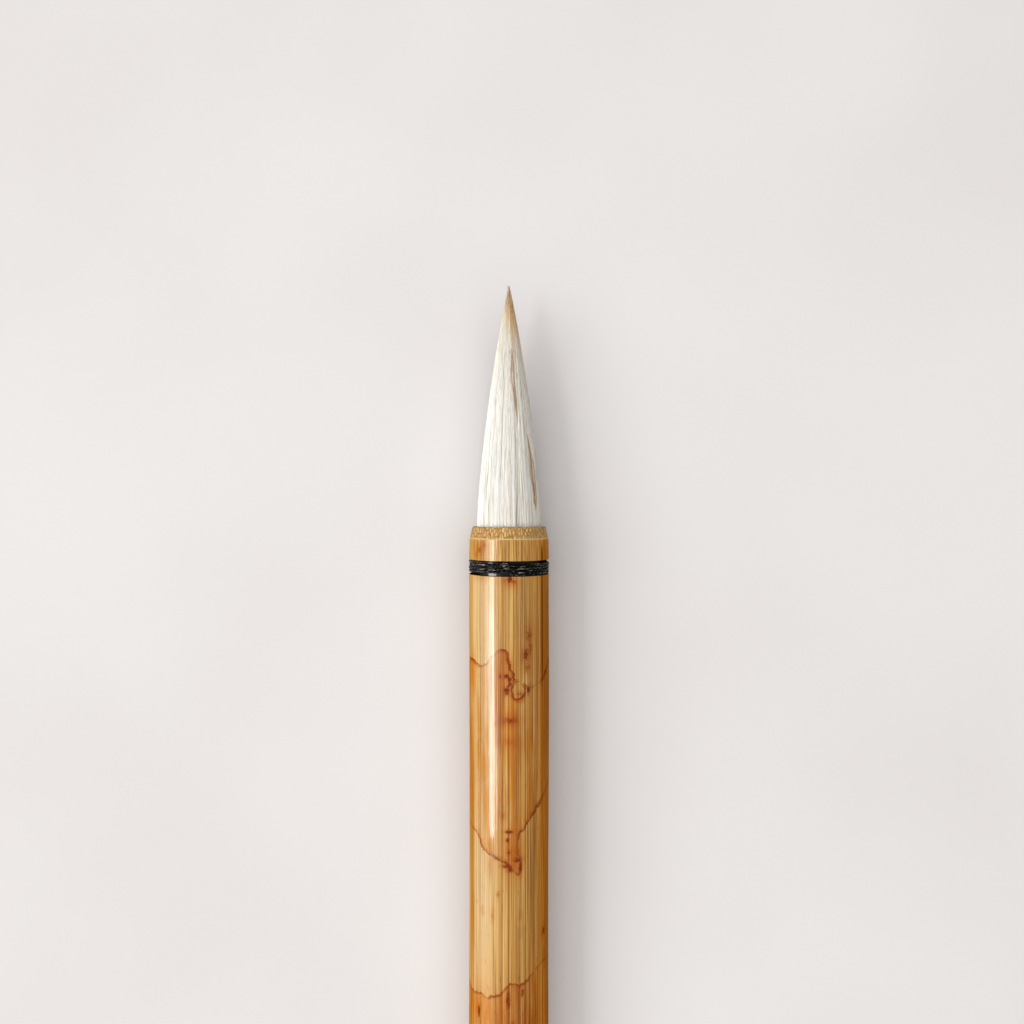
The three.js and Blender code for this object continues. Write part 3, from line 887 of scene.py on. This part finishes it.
def squeeze(made, back, front, widest):
    """Fits a bundle of hair between two distances from the mouth, waisted where the tie pulls it in."""
    mesh = made.data
    points = np.empty(len(mesh.vertices) * 3)
    mesh.vertices.foreach_get("co", points)
    local = (points.reshape(-1, 3) - MOUTH_CENTRE) / MM
    low, high = local[:, 1].min(), local[:, 1].max()
    run = (local[:, 1] - low) / (high - low)
    reach = np.hypot(local[:, 0], local[:, 2])
    wanted = np.minimum(reach, widest) / np.maximum(reach, 1e-6)
    local[:, 1] = back + (front - back) * run
    waist = 1 - 0.13 * np.exp(-(((local[:, 1] - TIE_CENTRE) / 0.9) ** 2))
    local[:, 0] *= wanted * waist
    local[:, 2] *= wanted * waist
    mesh.vertices.foreach_set("co", (local * MM + MOUTH_CENTRE).ravel())
    mesh.update()


def root_bundle():
    root_hair = hair_look("root_hair", srgb(238, 228, 204), srgb(196, 176, 138))
    bundle = inner_strands(
        "root_bundle", root_hair, seed=31, count=420, clumps=40, radius=3.8, root=-0.30, reach=0.9
    )
    squeeze(bundle, back=-10.2, front=-0.9, widest=3.75)
    return bundle


def cotton_tie():
    rng = np.random.default_rng(4)
    cotton = thread_look("cotton_tie", srgb(206, 196, 170), srgb(236, 228, 208), fuzz=0.7, shine=0.0)
    return twisted_thread(
        "cotton_tie", rng, cotton, radius=3.62, pitch=0.45, turns=3, centre=TIE_CENTRE,
        diameter=0.4, plies=3, twist=1.0,
    )


def resin_seal():
    corners = [(-11.7, 0.1), (-11.7, 3.6), (-11.5, 3.84), (-10.6, 3.84), (-10.45, 3.6), (-10.45, 0.1)]
    return turned_piece(
        "resin_seal", corners, resin_look(), gap=0.3, columns=72, ring=False, roughen=0.03, seed=22, sharp=60
    )


def glue_ring():
    corners = [(-9.6, 4.06), (-9.6, 4.26), (-2.5, 4.28), (-2.5, 4.06), (-9.6, 4.06)]
    return turned_piece(
        "glue_ring", corners, glue_look(), gap=0.4, columns=96, ring=True, roughen=0.02, seed=23, sharp=60
    )


def place(made, body, slot, *nodes):
    """A rigid piece, on its body, in place of its CAD nodes."""
    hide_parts(*nodes)
    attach(made, body)


def place_bending(made, slot, *nodes):
    """A piece of the tuft, the part that bends on the real brush, in place of its CAD nodes, its placing
    baked into its mesh.
    """
    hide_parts(*nodes)
    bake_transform(made)


def build_handle():
    place(bamboo_handle(), "handle", "bamboo", "handle_tube")
    place(wound_thread(), "handle", "black_thread", "binding_thread")
    place(tail_plug(), "handle", "plug_wood", "tail_plug")
    place(root_bundle(), "handle", "root_hair", "hair_root")
    place(cotton_tie(), "handle", "tie_thread", "root_tie")
    place(resin_seal(), "handle", "resin", "root_resin")
    place(glue_ring(), "handle", "glue", "socket_glue")


def build_tuft():
    white = hair_look("goat_hair", srgb(255, 255, 250), srgb(206, 191, 164))
    under = hair_look("under_hair", srgb(246, 240, 226), srgb(198, 180, 150))
    place_bending(cover_strands("cover_strands_a", white, seed=41), "cover_hair", "cover_hair")
    place_bending(cover_strands("cover_strands_b", white, seed=42), "cover_hair", "cover_hair")
    place_bending(brown_locks(white), "cover_hair", "cover_hair")
    place_bending(stray_hairs(white), "cover_hair", "cover_hair")
    body = hair_body("belly_mass", under, seed=43, radius=TUFT_RADIUS - 0.5, start=-0.15, stop=0.985)
    place_bending(body, "belly_hair", "belly_hair")
    core = inner_strands(
        "core_strands", under, seed=44, count=260, clumps=24, radius=1.8, root=-0.12, reach=0.87
    )
    place_bending(core, "core_hair", "core_hair")


def floor():
    """A pale card-like floor with a faint tooth, in metres."""
    look = Look("pale_floor", Specular_IOR_Level=0.0, Roughness=0.9)
    tooth = look.noise(0.7, 0.7, 4, 0.6)
    cloud = look.noise(60, 60, 2)
    colour = look.mix(look.between(cloud, 0.3, 0.7), srgb(221, 219, 219), srgb(216, 213, 213))
    look.finish(Base_Color=colour, Normal=look.bump(tooth, 0.03))
    half = 1.5
    corners = [(-half, -half, 0), (half, -half, 0), (half, half, 0), (-half, half, 0)]
    mesh = bpy.data.meshes.new("floor")
    mesh.from_pydata(corners, [], [(0, 1, 2, 3)])
    mesh.materials.append(look.material)
    made = bpy.data.objects.new("floor", mesh)
    bpy.context.collection.objects.link(made)


def lamp(name, size, watts, place, lean):
    """A rectangular light, leaning by that many radians about the brush's length."""
    light = bpy.data.lights.new(name, "AREA")
    light.shape = "RECTANGLE"
    light.size, light.size_y = size
    light.energy = watts
    light.color = (1.0, 0.985, 0.965)
    made = bpy.data.objects.new(name, light)
    made.location = place
    made.rotation_euler = (0, -lean, 0)
    bpy.context.collection.objects.link(made)
    return made


def window(name, y_from, y_to, watts, tilt=52.0, distance=0.6, width=0.27):
    """A soft rectangle of light at the brush's left, facing it, its edges square to the brush.

    Lengths are in metres, and the tilt is in degrees from overhead.
    """
    lean = math.radians(tilt)
    height = PIVOT.z + distance * math.cos(lean)
    place = (-distance * math.sin(lean), (y_from + y_to) / 2, height)
    return lamp(name, (width, y_to - y_from), watts, place, lean)


def light_scene():
    """Panes that show only as the stripe in the varnish, and fills that don't show in it."""
    panes = (
        window("pane", y_from=-0.215, y_to=-0.006, watts=2.3),
        window("pane_dim", y_from=-0.006, y_to=0.26, watts=1.9),
    )
    for pane in panes:
        pane.visible_diffuse = False
    fills = (
        window("side", y_from=-0.5, y_to=0.5, watts=11.0, distance=1.3, width=0.8),
        lamp("ceiling", size=(2.0, 2.0), watts=15.5, place=(0, 0, 1.0), lean=0.0),
    )
    for fill in fills:
        fill.visible_glossy = False
    world = bpy.data.worlds.new("room")
    world.use_nodes = True
    background = world.node_tree.nodes["Background"]
    background.inputs["Color"].default_value = (1.0, 0.985, 0.98, 1)
    background.inputs["Strength"].default_value = 0.14
    bpy.context.scene.world = world


def point_camera():
    """Straight down, above a point just ahead of the mouth."""
    aside, height = 0.41 * MM, 102.6 * MM
    data = bpy.data.cameras.new("camera")
    data.sensor_width = 36.0
    data.lens = 26.0
    data.clip_start = 0.01
    made = bpy.data.objects.new("camera", data)
    made.location = (aside, PIVOT.y, PIVOT.z + height)
    bpy.context.collection.objects.link(made)
    bpy.context.scene.camera = made


build_handle()
build_tuft()
floor()
light_scene()
point_camera()
bpy.context.scene.view_settings.view_transform = "Standard"
